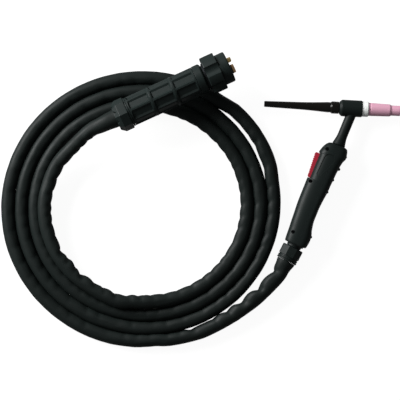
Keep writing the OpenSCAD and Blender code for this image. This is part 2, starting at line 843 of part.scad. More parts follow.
module power_cable() {
    color("#202224")
    in_handle() hose([
        [0, -power_start, 0], [0, -power_turn, 0], [-ball_offset * 0.5, -(power_turn + ball_u) / 2, 0],
        [-ball_offset, -ball_u + 12, 0], [-ball_offset, -ball_u + 0.5, 0]
    ], power_d / 2, tube_sides);
}

// ---- Ball joint ----

module ball_seat() {
    color("#d8d8d2")
    down_hose() difference() {
        intersection() {
            sphere(r = seat_out_r, $fn = 64);
            rod(seat_top, seat_bottom, 3 * ball_d);
        }
        sphere(r = seat_r, $fn = 64);
    }
}

module swivel_ball() {
    color("#33373a")
    down_hose() difference() {
        union() {
            intersection() {
                sphere(r = ball_r, $fn = 64);
                rod(ball_top, ball_r, 3 * ball_d);
            }
            rod(0, collar_start - run_gap, ball_neck_d);
            rod(0, stem_end, stem_d);
        }
        rod(ball_top - 1, stem_end + 1, ball_bore);
        translate([0, 0, ball_top - 0.01]) cylinder(d1 = ball_bore + 4, d2 = ball_bore, h = -ball_top);
    }
}

module clamp_collar() {
    bevel = 1.6;
    color("#2a2d2f")
    down_hose() difference() {
        intersection() {
            rotate([0, 0, 22.5]) rod(collar_start, collar_end, collar_d / cos(22.5) * 0.985, $fn = 8);
            turned([
                [0, collar_start], [collar_d / 2 - bevel, collar_start], [collar_d / 2, collar_start + bevel],
                [collar_d / 2, collar_end - bevel / 2], [collar_d / 2 - bevel / 2, collar_end], [0, collar_end]
            ]);
        }
        rod(collar_start - 1, stem_end + run_gap, stem_d + 0.2);
        rod(collar_start, collar_end + 1, ball_bore);
    }
}

module sheath_clamp() {
    groove = 0.8;
    color("#232628")
    down_hose() difference() {
        turned([
            [0, clamp_start], [clamp_d / 2 - groove, clamp_start], [clamp_d / 2 - groove, clamp_start + 1],
            [clamp_d / 2, clamp_start + 1.6], [clamp_d / 2, clamp_start + 3], [clamp_d / 2 - groove, clamp_start + 3.4],
            [clamp_d / 2 - groove, clamp_start + 4], [clamp_d / 2, clamp_start + 4.4],
            [clamp_d / 2, clamp_end], [0, clamp_end]
        ]);
        rod(clamp_start - 1, clamp_end + 1, ball_bore);
    }
}

module sheath_boot() {
    color("#232628")
    down_hose() difference() {
        turned([
            [0, boot_start], [boot_d / 2, boot_start], [boot_d / 2 - 0.4, boot_start + 3],
            [hose_r + 1.4, hose_start - 3], [hose_r, hose_start], [0, hose_start]
        ]);
        rod(boot_start - 1, hose_start + 1, ball_bore);
    }
}

module power_cable_stub() {
    color("#202224")
    down_hose() rod(0.8, hose_start, stub_d);
}

// ---- Hose ----

module hose_lead() {
    color("#1d2021") hose(lead_route, hose_r, tube_sides);
}

module hose_coil() {
    color("#1d2021") hose(coil_route, hose_r, coil_sides);
}

module hose_tail() {
    color("#1d2021") hose(tail_route, hose_r, tube_sides, tail_swell);
}

// ---- Connector ----

module gland_nut() {
    flats = 8;
    color("#2c2f31")
    along_connector() difference() {
        intersection() {
            turned([
                [0, -gland_len], [gland_rear_d / 2, -gland_len], [gland_d / 2 - 2, -gland_len + 6],
                [gland_d / 2, -gland_len + 11], [gland_d / 2, -2], [gland_d / 2 - 1, -run_gap], [0, -run_gap]
            ]);
            rotate([0, 0, 22.5]) rod(-gland_len, 0, gland_d / cos(22.5) * 0.97, $fn = flats);
        }
        rod(-gland_len - 1, 1, seal_d);
        for (i = [0:flats - 1]) rotate([0, 0, 45 * i]) translate([gland_rear_d / 2 + 1, 0, -gland_len])
            cube([4, wedge_notch, 2 * wedge_notch], center = true);
    }
}

module gland_seal() {
    color("#17191a")
    along_connector() difference() {
        rod(-gland_len, -2, seal_d - 0.4);
        rod(-gland_len + 3, -1, seal_bore);
    }
}

module grip_end_ring() {
    color("#2c2f31")
    along_connector() difference() {
        rod(0, end_ring_len, grip_d + 0.6);
        rod(-1, end_ring_len + 1, grip_bore);
    }
}

module connector_grip() {
    color("#2c2f31")
    along_connector() difference() {
        rod(grip_start, grip_end, grip_d);
        rod(grip_start - 1, grip_end + 1, grip_bore);
        for (k = [0:segments - 1]) for (i = [0:grip_flutes - 1])
            rotate([0, 0, 360 * (i + 0.5) / grip_flutes])
            translate([grip_d / 2 - flute_depth, -flute_w / 2, grip_start + segment_len * k + flute_margin])
            cube([flute_depth + 2, flute_w, segment_len - 2 * flute_margin]);
    }
}

module front_collar() {
    front_collar_end = front_collar_start + front_collar_len;
    color("#2c2f31")
    along_connector() difference() {
        turned([
            [0, front_collar_start], [front_collar_d / 2, front_collar_start],
            [front_collar_d / 2, front_collar_end - 2], [front_collar_d / 2 - 2.4, front_collar_end],
            [0, front_collar_end]
        ]);
        rod(front_collar_start - 1, front_collar_end + 1, sleeve_d);
    }
}

// Spring ring in a groove of the sleeve, behind the coupling nut.
module nut_retainer() {
    color("#8f9498")
    along_connector() difference() {
        rod(retainer_start, retainer_start + retainer_len, sleeve_d + 4.4);
        rod(retainer_start - 1, retainer_start + retainer_len + 1, sleeve_d - 1.2);
        translate([0, -2, retainer_start - 1]) cube([sleeve_d, 4, retainer_len + 2]);
    }
}

module coupling_nut() {
    color("#2a2c2e")
    along_connector() difference() {
        turned([
            [0, nut_start], [nut_d / 2 - 1.6, nut_start], [nut_d / 2, nut_start + 1.6],
            [nut_d / 2, nut_start + nut_len - 1.2], [nut_d / 2 - 1.2, nut_start + nut_len],
            [0, nut_start + nut_len]
        ]);
        rod(nut_start - 1, nut_start + nut_len + 1, sleeve_d + 2 * run_gap);
        for (i = [0:nut_lobes - 1]) rotate([0, 0, 360 * i / nut_lobes + nut_turn])
            translate([(nut_d + scallop_d) / 2 - scallop_depth, 0, nut_start - 1])
            cylinder(d = scallop_d, h = nut_len + 2);
    }
}

module connector_nose() {
    edge = 2.2;
    color("#2a2c2e")
    along_connector() difference() {
        turned([
            [0, sleeve_start], [sleeve_d / 2, sleeve_start], [sleeve_d / 2, retainer_start],
            [sleeve_d / 2 - 0.7, retainer_start], [sleeve_d / 2 - 0.7, retainer_start + retainer_len],
            [sleeve_d / 2, retainer_start + retainer_len],
            [sleeve_d / 2, nose_start], [nose_d / 2, nose_start], [nose_d / 2, nose_end - edge],
            [nose_d / 2 - 0.7, nose_end - 0.7], [nose_d / 2 - edge, nose_end], [0, nose_end]
        ]);
        rod(sleeve_start - 1, plug_start + 6, sleeve_d - 6);
        translate([0, plug_side, 0]) rod(sleeve_start, nose_end + 1, plug_d);
        for (rise = [-pin_rise, pin_rise]) translate([rise, pin_side, 0])
            rod(sleeve_start, nose_end + 1, pin_shank_d);
    }
}

module central_plug() {
    color("#b87a44")
    along_connector() translate([0, plug_side, 0]) difference() {
        turned([
            [0, plug_start], [plug_d / 2, plug_start], [plug_d / 2, plug_groove_start],
            [plug_d / 2 - plug_groove_depth, plug_groove_start],
            [plug_d / 2 - plug_groove_depth, plug_groove_start + plug_groove_len],
            [plug_d / 2, plug_groove_start + plug_groove_len], [plug_d / 2, contact_end - plug_chamfer],
            [plug_d / 2 - plug_chamfer, contact_end], [0, contact_end]
        ]);
        rod(plug_start + power_socket + 1, contact_end + 1, plug_bore);
        rod(plug_start - 1, plug_start + power_socket, power_d);
    }
}

module plug_seal() {
    color("#101010")
    along_connector() translate([0, plug_side, plug_groove_start + plug_groove_len / 2]) rotate_extrude($fn = 48)
        translate([plug_d / 2 - plug_groove_depth + plug_seal_wire / 2, 0]) circle(d = plug_seal_wire, $fn = 24);
}

module control_pins() {
    color("#c2a04e")
    along_connector() for (rise = [-pin_rise, pin_rise]) translate([rise, pin_side, 0]) {
        rod(pin_start, nose_end, pin_shank_d);
        rod(nose_end - 1, contact_end - plug_chamfer, control_pin_d);
        translate([0, 0, contact_end - plug_chamfer])
            cylinder(d1 = control_pin_d, d2 = control_pin_d - 2 * plug_chamfer, h = plug_chamfer);
    }
}

module cable_ferrule() {
    color("#b08d3c")
    along_connector() translate([0, plug_side, 0]) difference() {
        rod(plug_start - ferrule_len, plug_start, ferrule_d);
        rod(plug_start - ferrule_len - 1, plug_start + 1, power_d);
    }
}

// Power cable inside the connector, from the gland's seal to the ferrule.
module power_cable_tail() {
    cable_in = plug_start - ferrule_len - 6;
    color("#202224")
    hose([
        conn_at(-gland_len + 3.3, 0), conn_at(12, 0), conn_at((12 + cable_in) / 2, plug_side / 2),
        conn_at(cable_in, plug_side), conn_at(plug_start + power_socket - 0.3, plug_side)
    ], power_d / 2, tube_sides);
}

head_cover();
head_core();
neck_tube();
collet_body();
collet();
cup_gasket();
ceramic_cup();
tungsten_electrode();
back_cap();
cap_o_ring();
handle_upper();
handle_lower();
handle_screws();
trigger();
trigger_pin();
switch_body();
switch_plunger();
switch_wires();
power_coupling();
power_cable();
ball_seat();
swivel_ball();
clamp_collar();
sheath_clamp();
sheath_boot();
power_cable_stub();
hose_lead();
hose_coil();
hose_tail();
gland_nut();
gland_seal();
grip_end_ring();
connector_grip();
front_collar();
nut_retainer();
coupling_nut();
connector_nose();
central_plug();
plug_seal();
control_pins();
cable_ferrule();
power_cable_tail();
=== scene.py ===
import json
import math
import random

import bmesh
import bpy
from mathutils import Matrix, Vector, noise
from mathutils.geometry import interpolate_bezier


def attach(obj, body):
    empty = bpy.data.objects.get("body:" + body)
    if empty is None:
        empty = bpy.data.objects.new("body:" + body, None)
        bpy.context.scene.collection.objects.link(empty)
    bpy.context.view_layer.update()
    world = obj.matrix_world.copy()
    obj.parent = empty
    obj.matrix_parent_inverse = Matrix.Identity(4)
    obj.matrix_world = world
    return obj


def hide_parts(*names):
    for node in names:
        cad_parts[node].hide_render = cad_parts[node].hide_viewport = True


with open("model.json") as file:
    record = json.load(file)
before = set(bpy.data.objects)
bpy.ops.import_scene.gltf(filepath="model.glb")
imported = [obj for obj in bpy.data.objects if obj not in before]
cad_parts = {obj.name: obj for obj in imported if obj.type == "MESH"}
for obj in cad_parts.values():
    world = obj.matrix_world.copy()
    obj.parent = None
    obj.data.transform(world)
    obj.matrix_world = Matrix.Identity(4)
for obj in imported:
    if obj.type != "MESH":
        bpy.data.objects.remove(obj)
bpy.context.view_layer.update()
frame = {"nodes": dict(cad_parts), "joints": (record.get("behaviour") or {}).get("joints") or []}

# ---- Camera ----
# It stands three metres above the table, with a long lens, and looks straight down on the
# torch and its coiled hose.
lens = bpy.data.cameras.new("camera")
lens.sensor_width = 36
lens.lens = 181.7
camera = bpy.data.objects.new("camera", lens)
camera.location = (-0.1965, -0.0287, 3)
bpy.context.scene.collection.objects.link(camera)
bpy.context.scene.camera = camera

# ---- Sheath of the hose ----
# A black rubberised sleeve over the power and gas cable, soft enough to crease on the inner
# side of every bend. It is clamped behind the ball joint, lies in three turns, and is drawn
# over the connector's rear end, where it swells.
MM = 0.001
joints = {joint["name"]: joint for joint in frame["joints"]}
ball_centre = Vector(joints["ball_twist"]["pos_m"]) / MM
hose_out = Vector(joints["ball_twist"]["axis"]).normalized()
contacts_out = Vector(joints["nut_turn"]["axis"]).normalized()
nut_from_foot = 137
connector_foot = Vector(joints["nut_turn"]["pos_m"]) / MM - nut_from_foot * contacts_out

hose_d = 18.6
hose_r = hose_d / 2
boot_start = 30.8
lead_start = 43.8
gland_len = 20.2
coil_first_r = 199.9
coil_pitch = 19.5
# The first turn strays outwards between these shares of a turn.
stray_start, stray_stop, stray_span, stray_most = 0.48, 0.82, 0.34, 6


def stray(turns):
    """How far the first turn strays from its spiral."""
    if not stray_start < turns < stray_stop:
        return 0
    return stray_most * math.sin(math.pi * (turns - stray_start) / stray_span) ** 2


def coil_point(turns):
    """Centre of the hose so many turns after the coil's lowest point."""
    radius = coil_first_r - coil_pitch * turns + stray(turns)
    angle = math.tau * turns
    climb = 8 * (max(0, turns - 2.85) / 0.15) ** 2
    return Vector((-279.8 + 0.4 * turns - (radius + 6.2) * math.sin(angle),
                   -38.2 - radius * math.cos(angle), hose_r + climb))


def smooth_line(points, step):
    """Points about a step apart on the smooth curve that runs through the given points."""
    last = len(points) - 1
    heading = [(points[min(k + 1, last)] - points[max(k - 1, 0)]).normalized() for k in range(last + 1)]
    line = [points[0]]
    for k in range(last):
        a, b = points[k], points[k + 1]
        reach = (b - a).length / 3
        count = max(2, round((b - a).length / step) + 1)
        line += interpolate_bezier(a, a + reach * heading[k], b - reach * heading[k + 1], b, count)[1:]
    return line


coil_in = (coil_point(0.001) - coil_point(-0.001)).normalized()
coil_out = (coil_point(3.001) - coil_point(2.999)).normalized()
coil_entry = coil_point(0) - hose_d * coil_in
coil_exit = coil_point(3) + hose_d * coil_out
lead_exit = ball_centre + lead_start * hose_out
gland_rear = connector_foot - gland_len * contacts_out
lead_route = [ball_centre + boot_start * hose_out, lead_exit, lead_exit + hose_r * hose_out,
              Vector((-98, -159, 15)), Vector((-124, -182, 13)), Vector((-156, -204, 11)),
              Vector((-188, -221, 9.8)), Vector((-216, -232.5, 9.4)),
              coil_entry - hose_d * coil_in, coil_entry]
coil_route = [coil_point(step / 24) for step in range(73)]
tail_route = [coil_exit, coil_exit + hose_d * coil_out,
              Vector((-347, -164, 22.5)), Vector((-380, -141, 22.5)), Vector((-407, -109, 22.5)),
              Vector((-422, -73, 22.5)), Vector((-426, -43, 22.5)), Vector((-423, -16, 22.5)),
              Vector((-408, 22, 25)), Vector((-385, 48, 31)), Vector((-359, 72, 40)),
              gland_rear - hose_d * contacts_out, gland_rear]
hose_route = lead_route + coil_route + tail_route
centre_line = smooth_line(hose_route, 3)
station = [0]
for a, b in zip(centre_line, centre_line[1:]):
    station.append(station[-1] + (b - a).length)
sheath_len = station[-1]
turn_at = [min(range(len(centre_line)), key=lambda k: (centre_line[k] - coil_point(turn)).length)
           for turn in (0, 0.6, 0.9, 2, 3)]
coil_start, loose_from, loose_to, inner_from, coil_end = [station[k] for k in turn_at]


def sheath_radius(s):
    """Radius before it creases: flared at the clamp, full along the lead, swollen at the gland."""
    flare = 4.1 * max(0, 1 - s / 20) ** 2
    full = 0.5 + 1.1 * min(1, max(0, (coil_start - 40 - s) / 120))
    drawn_over = 3.6 * max(0, 1 - (sheath_len - s) / 55) ** 1.3
    return hose_r + full + flare + drawn_over


def crease_size(s):
    """How far the creases cut in there, and how far the sheath bulges between them."""
    if s < 140:
        return 4.4, 2.1
    if s < coil_start:
        return 1.2, 0.5
    if s > sheath_len - 45:
        return 0.4, 0.1
    if s > coil_end:
        return 2.2, 1.2
    if s > inner_from:
        return 1.4, 0.9
    if loose_from < s < loose_to:
        return 2, 0.5
    return 1.5, 0.1


def turns_before(s):
    """Turns of the coil that lie before a station."""
    left = first_reach ** 2 - 2 * coil_pitch * (s - coil_start) / math.tau
    return (first_reach - max(0, left) ** 0.5) / coil_pitch


def shifted(s):
    """How far it lies nearer the coil's middle there: the strands close up but for one slit."""
    entering = 3.3 * max(0, 1 - ((s - coil_start + 38) / 50) ** 2)
    turns = turns_before(s)
    place = turns % 1
    if turns > 2 or not stray_start < place < stray_stop:
        return entering
    apart = min(1, max(0, (slit_half - abs(place - slit_at)) / slit_end))
    closing = (1 - apart) * max(0, stray(place) - 0.3) + 0.6 * apart
    return 0.72 * closing if turns < 1 else -0.28 * closing


random.seed(11)
# First radius of the round spiral that stands for the slightly oval coil where turns are counted.
first_reach = 203.3
# The slit between the first two strands, in shares of a turn.
slit_at, slit_half, slit_end = 0.6615, 0.0625, 0.02
creases = [(0, 0), (24, 0.9), (60, 1), (91, 0.9), (120, 0.7)]
while creases[-1][0] < sheath_len:
    here = creases[-1][0]
    spacing = random.uniform(13, 24) if here > inner_from else random.uniform(17, 34)
    creases.append((here + spacing, random.uniform(0.35, 1)))
# Larger kinks on the inner side: place, depth; one with a depth below zero bulges.
kinks = [(-399, -104, 3.4), (-373, -137, 3.4), (-386, -118, -1.4), (-352, -160, 2.2), (-110, 36, -2.2),
         (-116, 52, 1.6), (-138, -184, 2.6), (-112, -162, 2.2), (-205, -232, 2.4)]
kinks = [(min(zip(centre_line, station), key=lambda near: (near[0].xy - Vector((x, y))).length)[1], depth)
         for x, y, depth in kinks]

track = bpy.data.curves.new("sheath", "CURVE")
track.dimensions = "3D"
track.bevel_depth = hose_r * MM
track.bevel_resolution = 16
strand = track.splines.new("POLY")
strand.points.add(len(centre_line) - 1)
for point, place in zip(strand.points, centre_line):
    point.co = (*(place * MM), 1)
tube = bpy.data.objects.new("sheath_track", track)
bpy.context.scene.collection.objects.link(tube)
bpy.context.view_layer.update()
sheath_mesh = bpy.data.meshes.new_from_object(tube)
bpy.data.objects.remove(tube)

reach_limit = 13.9
sides = len(sheath_mesh.vertices) // len(centre_line)
for vertex in sheath_mesh.vertices:
    k = vertex.index // sides
    centre = centre_line[k]
    heading = (centre_line[min(k + 1, len(centre_line) - 1)] - centre_line[max(k - 1, 0)]).normalized()
    inside = heading.cross(Vector((0, 0, 1))).normalized()
    outward = (vertex.co / MM - centre).normalized()
    s = station[k] + 5 * outward.z
    depth, bulge = crease_size(station[k])
    j = next((i for i in range(1, len(creases)) if creases[i][0] > s), len(creases) - 1)
    (start, strong), (stop, next_strong) = creases[j - 1], creases[j]
    across = min(1, max(0, (s - start) / (stop - start)))
    swell = math.sin(math.pi * across) ** 0.6
    strength = strong + (next_strong - strong) * across
    lean = 0.9 if coil_start < station[k] < inner_from else 0.25
    fold_side = (inside + Vector((0, 0, lean))).normalized()
    weight = max(0, outward.dot(fold_side)) ** (2.4 if lean > 0.5 else 1.4)
    fold = weight * strength * (bulge * swell - depth * (1 - swell))
    ripple = 0.35 * noise.noise(Vector((station[k] / 28, 2 * outward.z, 2 * outward.dot(inside))))
    ripple += 0.2 * noise.noise(Vector((station[k] / 9, 5 + 2 * outward.z, 2 * outward.dot(inside))))
    squeezed = 0.35 * abs(outward.dot(inside)) ** 2 if coil_start < station[k] < coil_end else 0
    for kink, cut in kinks:
        fold -= weight * cut * math.exp(-((s - kink) / 6) ** 2)
    nearer = shifted(station[k])
    if nearer < 0:
        nearer *= max(0, -outward.dot(inside))
    reach = outward * (sheath_radius(station[k]) + squeezed + fold + ripple) + inside * nearer
    reach *= min(1, reach_limit / reach.length)
    place = centre + reach
    place.z = max(place.z, 0.2)
    vertex.co = place * MM
sheath_mesh.shade_smooth()


def linear(text):
    """Linear colour of an sRGB hex value."""
    parts = [int(text[i:i + 2], 16) / 255 for i in (0, 2, 4)]
    return [p / 12.92 if p <= 0.04045 else ((p + 0.055) / 1.055) ** 2.4 for p in parts] + [1]


def add(tree, kind, inputs=None, **settings):
    """Adds a node with its settings; an input is a value, or the socket that it is linked from."""
    node = tree.nodes.new(kind)
    for name, value in settings.items():
        setattr(node, name, value)
    for name, value in (inputs or {}).items():
        if isinstance(value, bpy.types.NodeSocket):
            tree.links.new(value, node.inputs[name])
        else:
            node.inputs[name].default_value = value
    return node


def new_finish(name):
    """An empty material, and its node tree."""
    finish = bpy.data.materials.new(name)
    finish.use_nodes = True
    finish.node_tree.nodes.clear()
    return finish, finish.node_tree


mottle_size = 25


def finished(name, colour, rough, spread, grain, depth, lathe=None, **settings):
    """Material with fine grain, or a lathe's rings, in its bump, and broad mottling of shade and shine."""
    finish, tree = new_finish(name)
    where = add(tree, "ShaderNodeTexCoord").outputs["Object"]
    if lathe:
        along = add(tree, "ShaderNodeVectorMath", {0: where, 1: lathe}, operation="DOT_PRODUCT")
        fine = add(tree, "ShaderNodeTexNoise",
                   {"W": along.outputs["Value"], "Scale": 1 / (grain * MM), "Detail": 2.0},
                   noise_dimensions="1D")
    else:
        fine = add(tree, "ShaderNodeTexNoise", {"Vector": where, "Scale": 1 / (grain * MM), "Detail": 3.0,
                                                "Roughness": 0.6})
    broad = add(tree, "ShaderNodeTexNoise", {"Vector": where, "Scale": 1 / (mottle_size * MM), "Detail": 5.0,
                                             "Roughness": 0.65})
    shade = add(tree, "ShaderNodeMapRange", {"Value": broad.outputs["Fac"], "From Min": 0.3, "From Max": 0.7,
                                             "To Min": 1 - 1.5 * spread, "To Max": 1 + 1.5 * spread})
    tint = add(tree, "ShaderNodeHueSaturation", {"Value": shade.outputs["Result"], "Color": linear(colour)})
    worn = add(tree, "ShaderNodeMapRange", {"Value": broad.outputs["Fac"], "From Min": 0.7, "From Max": 0.3,
                                            "To Min": rough - spread, "To Max": rough + spread})
    bump = add(tree, "ShaderNodeBump", {"Height": fine.outputs["Fac"], "Strength": 0.3,
                                        "Distance": depth * MM})
    settings = {name.replace("_", " "): value for name, value in settings.items()}
    shader = add(tree, "ShaderNodeBsdfPrincipled",
                 {"Base Color": tint.outputs["Color"], "Normal": bump.outputs["Normal"],
                  "Roughness": worn.outputs["Result"], **settings})
    add(tree, "ShaderNodeOutputMaterial", {"Surface": shader.outputs["BSDF"]})
    return finish


# Rubberised sleeve, calendered with a fine leather grain: a dull black with broad soft
# highlights. Real grain is about 0.6 mm and is drawn at 1.2 mm to show.
sleeve_rubber = finished("calendered rubber sleeve", "141918", 0.52, 0.08, 1.2, 0.14, Specular_IOR_Level=0.1)

sheath = bpy.data.objects.new("sheath", sheath_mesh)
bpy.context.scene.collection.objects.link(sheath)
sheath_mesh.materials.append(sleeve_rubber)
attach(sheath, "hose_and_connector")
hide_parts("sheath_boot", "hose_lead", "hose_coil", "hose_tail")

# ---- Sheath clamp ----
# Moulded nylon ring, screwed on the collar over the sheath's end. A groove runs round it
# between two lips.


def standing(origin, along, side):
    """Frame in millimetres whose Z runs along, and whose X is as near to side as it can be."""
    y = along.cross(Vector(side)).normalized()
    turned_to = Matrix((y.cross(along), y, along)).transposed().to_4x4()
    return Matrix.Translation(origin * MM) @ turned_to @ Matrix.Scale(MM, 4)


def turned(profile, steps=96, corner_steps=3):
    """Bmesh spun about Z from [radius, station, corner radius] points; a ring's profile is closed."""
    mesh = bmesh.new()
    points = [mesh.verts.new((p[0], 0, p[1])) for p in profile]
    pairs = list(zip(points, points[1:]))
    if profile[0][0] > 0:
        pairs.append((points[-1], points[0]))
    for pair in pairs:
        mesh.edges.new(pair)
    for radius in sorted({p[2] for p in profile if len(p) > 2}):
        corners = [v for v, p in zip(points, profile) if len(p) > 2 and p[2] == radius]
        bmesh.ops.bevel(mesh, geom=corners, offset=radius, offset_type="OFFSET", segments=corner_steps,
                        profile=0.5, affect="VERTICES", material=-1)
    bmesh.ops.spin(mesh, geom=mesh.verts[:] + mesh.edges[:], axis=(0, 0, 1), cent=(0, 0, 0),
                   angle=math.tau, steps=steps, use_merge=True, use_duplicate=False)
    bmesh.ops.remove_doubles(mesh, verts=mesh.verts, dist=0.0005)
    bmesh.ops.recalc_face_normals(mesh, faces=mesh.faces)
    return mesh


def made(name, mesh, place, finish, sharp=35):
    """Object from a bmesh in millimetres, with its place in its mesh."""
    bmesh.ops.transform(mesh, matrix=place, verts=mesh.verts)
    data = bpy.data.meshes.new(name)
    mesh.to_mesh(data)
    mesh.free()
    data.shade_smooth()
    data.set_sharp_from_angle(angle=math.radians(sharp))
    data.materials.append(finish)
    piece = bpy.data.objects.new(name, data)
    bpy.context.scene.collection.objects.link(piece)
    piece.modifiers.new("flat faces shade flat", "WEIGHTED_NORMAL").keep_sharp = True
    return piece


def given(piece, body, slot, *nodes):
    """Puts a piece on its body, in place of its solids; its slot is not used."""
    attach(piece, body)
    if nodes:
        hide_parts(*nodes)
    return piece


# Glass-filled nylon, moulded in a spark-eroded tool: satin black with a fine even texture,
# real grain 0.2 mm, drawn at 0.7 mm.
grip_nylon = finished("glass-filled nylon, eroded texture", "141a19", 0.46, 0.05, 0.7, 0.07,
                      Specular_IOR_Level=0.12)

hose_frame = standing(ball_centre, hose_out, (1, 0, 0))
clamp_ring = made("sheath_clamp_ring", turned([
    [9.4, 23.3], [14.6, 23.3, 0.3], [14.6, 24.8, 0.3], [15.5, 25.4, 0.3], [15.5, 26.8, 0.3],
    [14.7, 27.2, 0.2], [14.7, 27.8, 0.2], [15.5, 28.2, 0.3], [15.5, 30.5, 0.6], [9.4, 30.5]]),
    hose_frame, grip_nylon)
given(clamp_ring, "hose_and_connector", "grip_plastic", "sheath_clamp")

# ---- Clamping collar ----
# Eight-sided moulded nut that closes on the ball's stem. The hose hangs from it, and all
# its edges are rounded.


def rod(x, y, start, stop, radius, segments=48):
    """Cylinder along Z."""
    mesh = bmesh.new()
    bmesh.ops.create_cone(mesh, segments=segments, radius1=radius, radius2=radius, depth=stop - start,
                          cap_ends=True, matrix=Matrix.Translation((x, y, (start + stop) / 2)))
    return mesh


collar_start = 8.2
collar_stop = 23.5
collar_sides = 8
collar = rod(0, 0, collar_start, collar_stop, 16.9, collar_sides)
bmesh.ops.rotate(collar, cent=(0, 0, 0), verts=collar.verts,
                 matrix=Matrix.Rotation(math.pi / collar_sides, 3, "Z"))
upright = [e for e in collar.edges if abs(e.verts[0].co.z - e.verts[1].co.z) > 1]
bmesh.ops.bevel(collar, geom=upright, offset=0.9, offset_type="OFFSET", segments=3, profile=0.5,
                affect="EDGES", material=-1)
for height, size in ((collar_start, 1.5), (collar_stop, 0.8)):
    rim = [e for e in collar.edges if all(abs(v.co.z - height) < 0.01 for v in e.verts)]
    bmesh.ops.bevel(collar, geom=rim, offset=size, offset_type="OFFSET", segments=3, profile=0.5,
                    affect="EDGES", material=-1)
given(made("collar_nut", collar, hose_frame, grip_nylon),
      "hose_and_connector", "grip_plastic", "clamp_collar")

# ---- Swivel ball ----
# Turned ball with a short stem, of the same nylon. The torch tilts and turns on it, and the
# cable runs through its bore.
ball_r = 12.2
ball_profile = [[4.6, -11.3], [7.4, -9.7, 0.4]]
for degrees in range(40, 118, 6):
    ball_profile.append([ball_r * math.sin(math.radians(degrees)), -ball_r * math.cos(math.radians(degrees))])
ball_profile += [[11, 5.6, 0.5], [11, 7.9, 0.5], [9.6, 7.9], [9.6, 20], [4.6, 20]]
given(made("ball_and_stem", turned(ball_profile), hose_frame, grip_nylon),
      "hose_and_connector", "grip_plastic", "swivel_ball")

# ---- Handle ----
# Two glass-filled nylon shells, screwed together along the middle. They are hollow, with a
# slot for the trigger, three screw wells, a thumb recess and a row of nubs down the back.
across = Vector(joints["switch_press"]["axis"]).normalized()
down = Vector((0, 0, 1)).cross(across) * -1
head_axis = Vector(joints["cup_unscrew"]["axis"]).normalized()
cup_from_head = 45
head_centre = Vector(joints["cup_unscrew"]["pos_m"]) / MM - cup_from_head * head_axis
handle_frame = standing(head_centre, down, across)
handle_top = 58.5
slot_top = 79
slot_bottom = 119.3
shell_wall = 2.6
socket_at, socket_side, socket_r = 215.3, -3.2, 14.1
recess_depth = 0.9
# Each row: station, reach to the trigger side, reach to the other side, half depth.
handle_rows = [
    [58.5, 9.8, 9.8, 9.5], [60.3, 14.6, 14.4, 12.6], [64.5, 18.2, 16.4, 14.8], [71, 21.2, 17.6, 16.5],
    [74, 22, 18, 17.5], [77, 22.7, 16.9, 17.5], [79, 22.9, 16, 17.5], [79.4, 21.3, 15.8, 17.5],
    [87, 21.3, 14.3, 17.5], [95, 21.3, 13.4, 17.5], [106.5, 21.3, 12.7, 17.5], [114.5, 21.3, 12.3, 17.5],
    [119.3, 21.3, 12.1, 17.5], [119.9, 24.2, 12.1, 17.5], [125.7, 24.2, 12, 17.5], [131.7, 24.1, 11.6, 17.5],
    [142.3, 24, 10.4, 17.5], [157.5, 23.7, 9.4, 17.5], [173.5, 22.7, 9.4, 17.5], [190.5, 21.6, 12, 17.5],
    [198.5, 20.9, 14.6, 17.5], [206.5, 20.5, 15.2, 17.4], [214.5, 20, 14.2, 17], [217.3, 19.5, 13.6, 16.7],
    [218.5, 18.5, 12.4, 15.7]]


def row_at(rows, u):
    """The row at a station, on smooth curves through the rows that never overshoot them."""
    k = max(i for i in range(len(rows) - 1) if rows[i][0] <= u or i == 0)
    span = rows[k + 1][0] - rows[k][0]
    x = min(1, (u - rows[k][0]) / span)
    found = []
    for column in range(1, 4):
        slopes = []
        for i in (k, k + 1):
            before = after = 0
            if 0 < i < len(rows) - 1:
                before = (rows[i][column] - rows[i - 1][column]) / (rows[i][0] - rows[i - 1][0])
                after = (rows[i + 1][column] - rows[i][column]) / (rows[i + 1][0] - rows[i][0])
            slopes.append(2 * before * after / (before + after) if before * after > 0 else 0)
        low, high = rows[k][column], rows[k + 1][column]
        found.append(low * (1 + 2 * x) * (1 - x) ** 2 + high * x * x * (3 - 2 * x)
                     + span * (slopes[0] * x * (1 - x) ** 2 - slopes[1] * x * x * (1 - x)))
    return found


def ring(mesh, u, left, right, half, segments):
    """Edges of one rounded-square ring across the handle."""
    verts = bmesh.ops.create_circle(mesh, segments=segments, radius=1)["verts"]
    for v in verts:
        c, s = [math.copysign(abs(part) ** 0.68, part) for part in (v.co.x, v.co.y)]
        v.co = (c * (left if c < 0 else right), s * half, u)
    return list({e for v in verts for e in v.link_edges})


def lofted(rows, stations, inset, segments=96):
    """Closed form through the handle's rows, drawn in by the inset."""
    mesh = bmesh.new()
    rings = []
    for u in stations:
        left, right, half = row_at(rows, u)
        rings.append(ring(mesh, u, left - inset, right - inset, half - inset, segments))
    for one, other in zip(rings, rings[1:]):
        bmesh.ops.bridge_loops(mesh, edges=one + other)
    bmesh.ops.edgenet_fill(mesh, edges=rings[0])
    bmesh.ops.edgenet_fill(mesh, edges=rings[-1])
    bmesh.ops.recalc_face_normals(mesh, faces=mesh.faces)
    return mesh


def solid(mesh):
    """Passing object for a boolean, in millimetres."""
    data = bpy.data.meshes.new("tool")
    mesh.to_mesh(data)
    mesh.free()
    tool = bpy.data.objects.new("tool", data)
    bpy.context.scene.collection.objects.link(tool)
    return tool


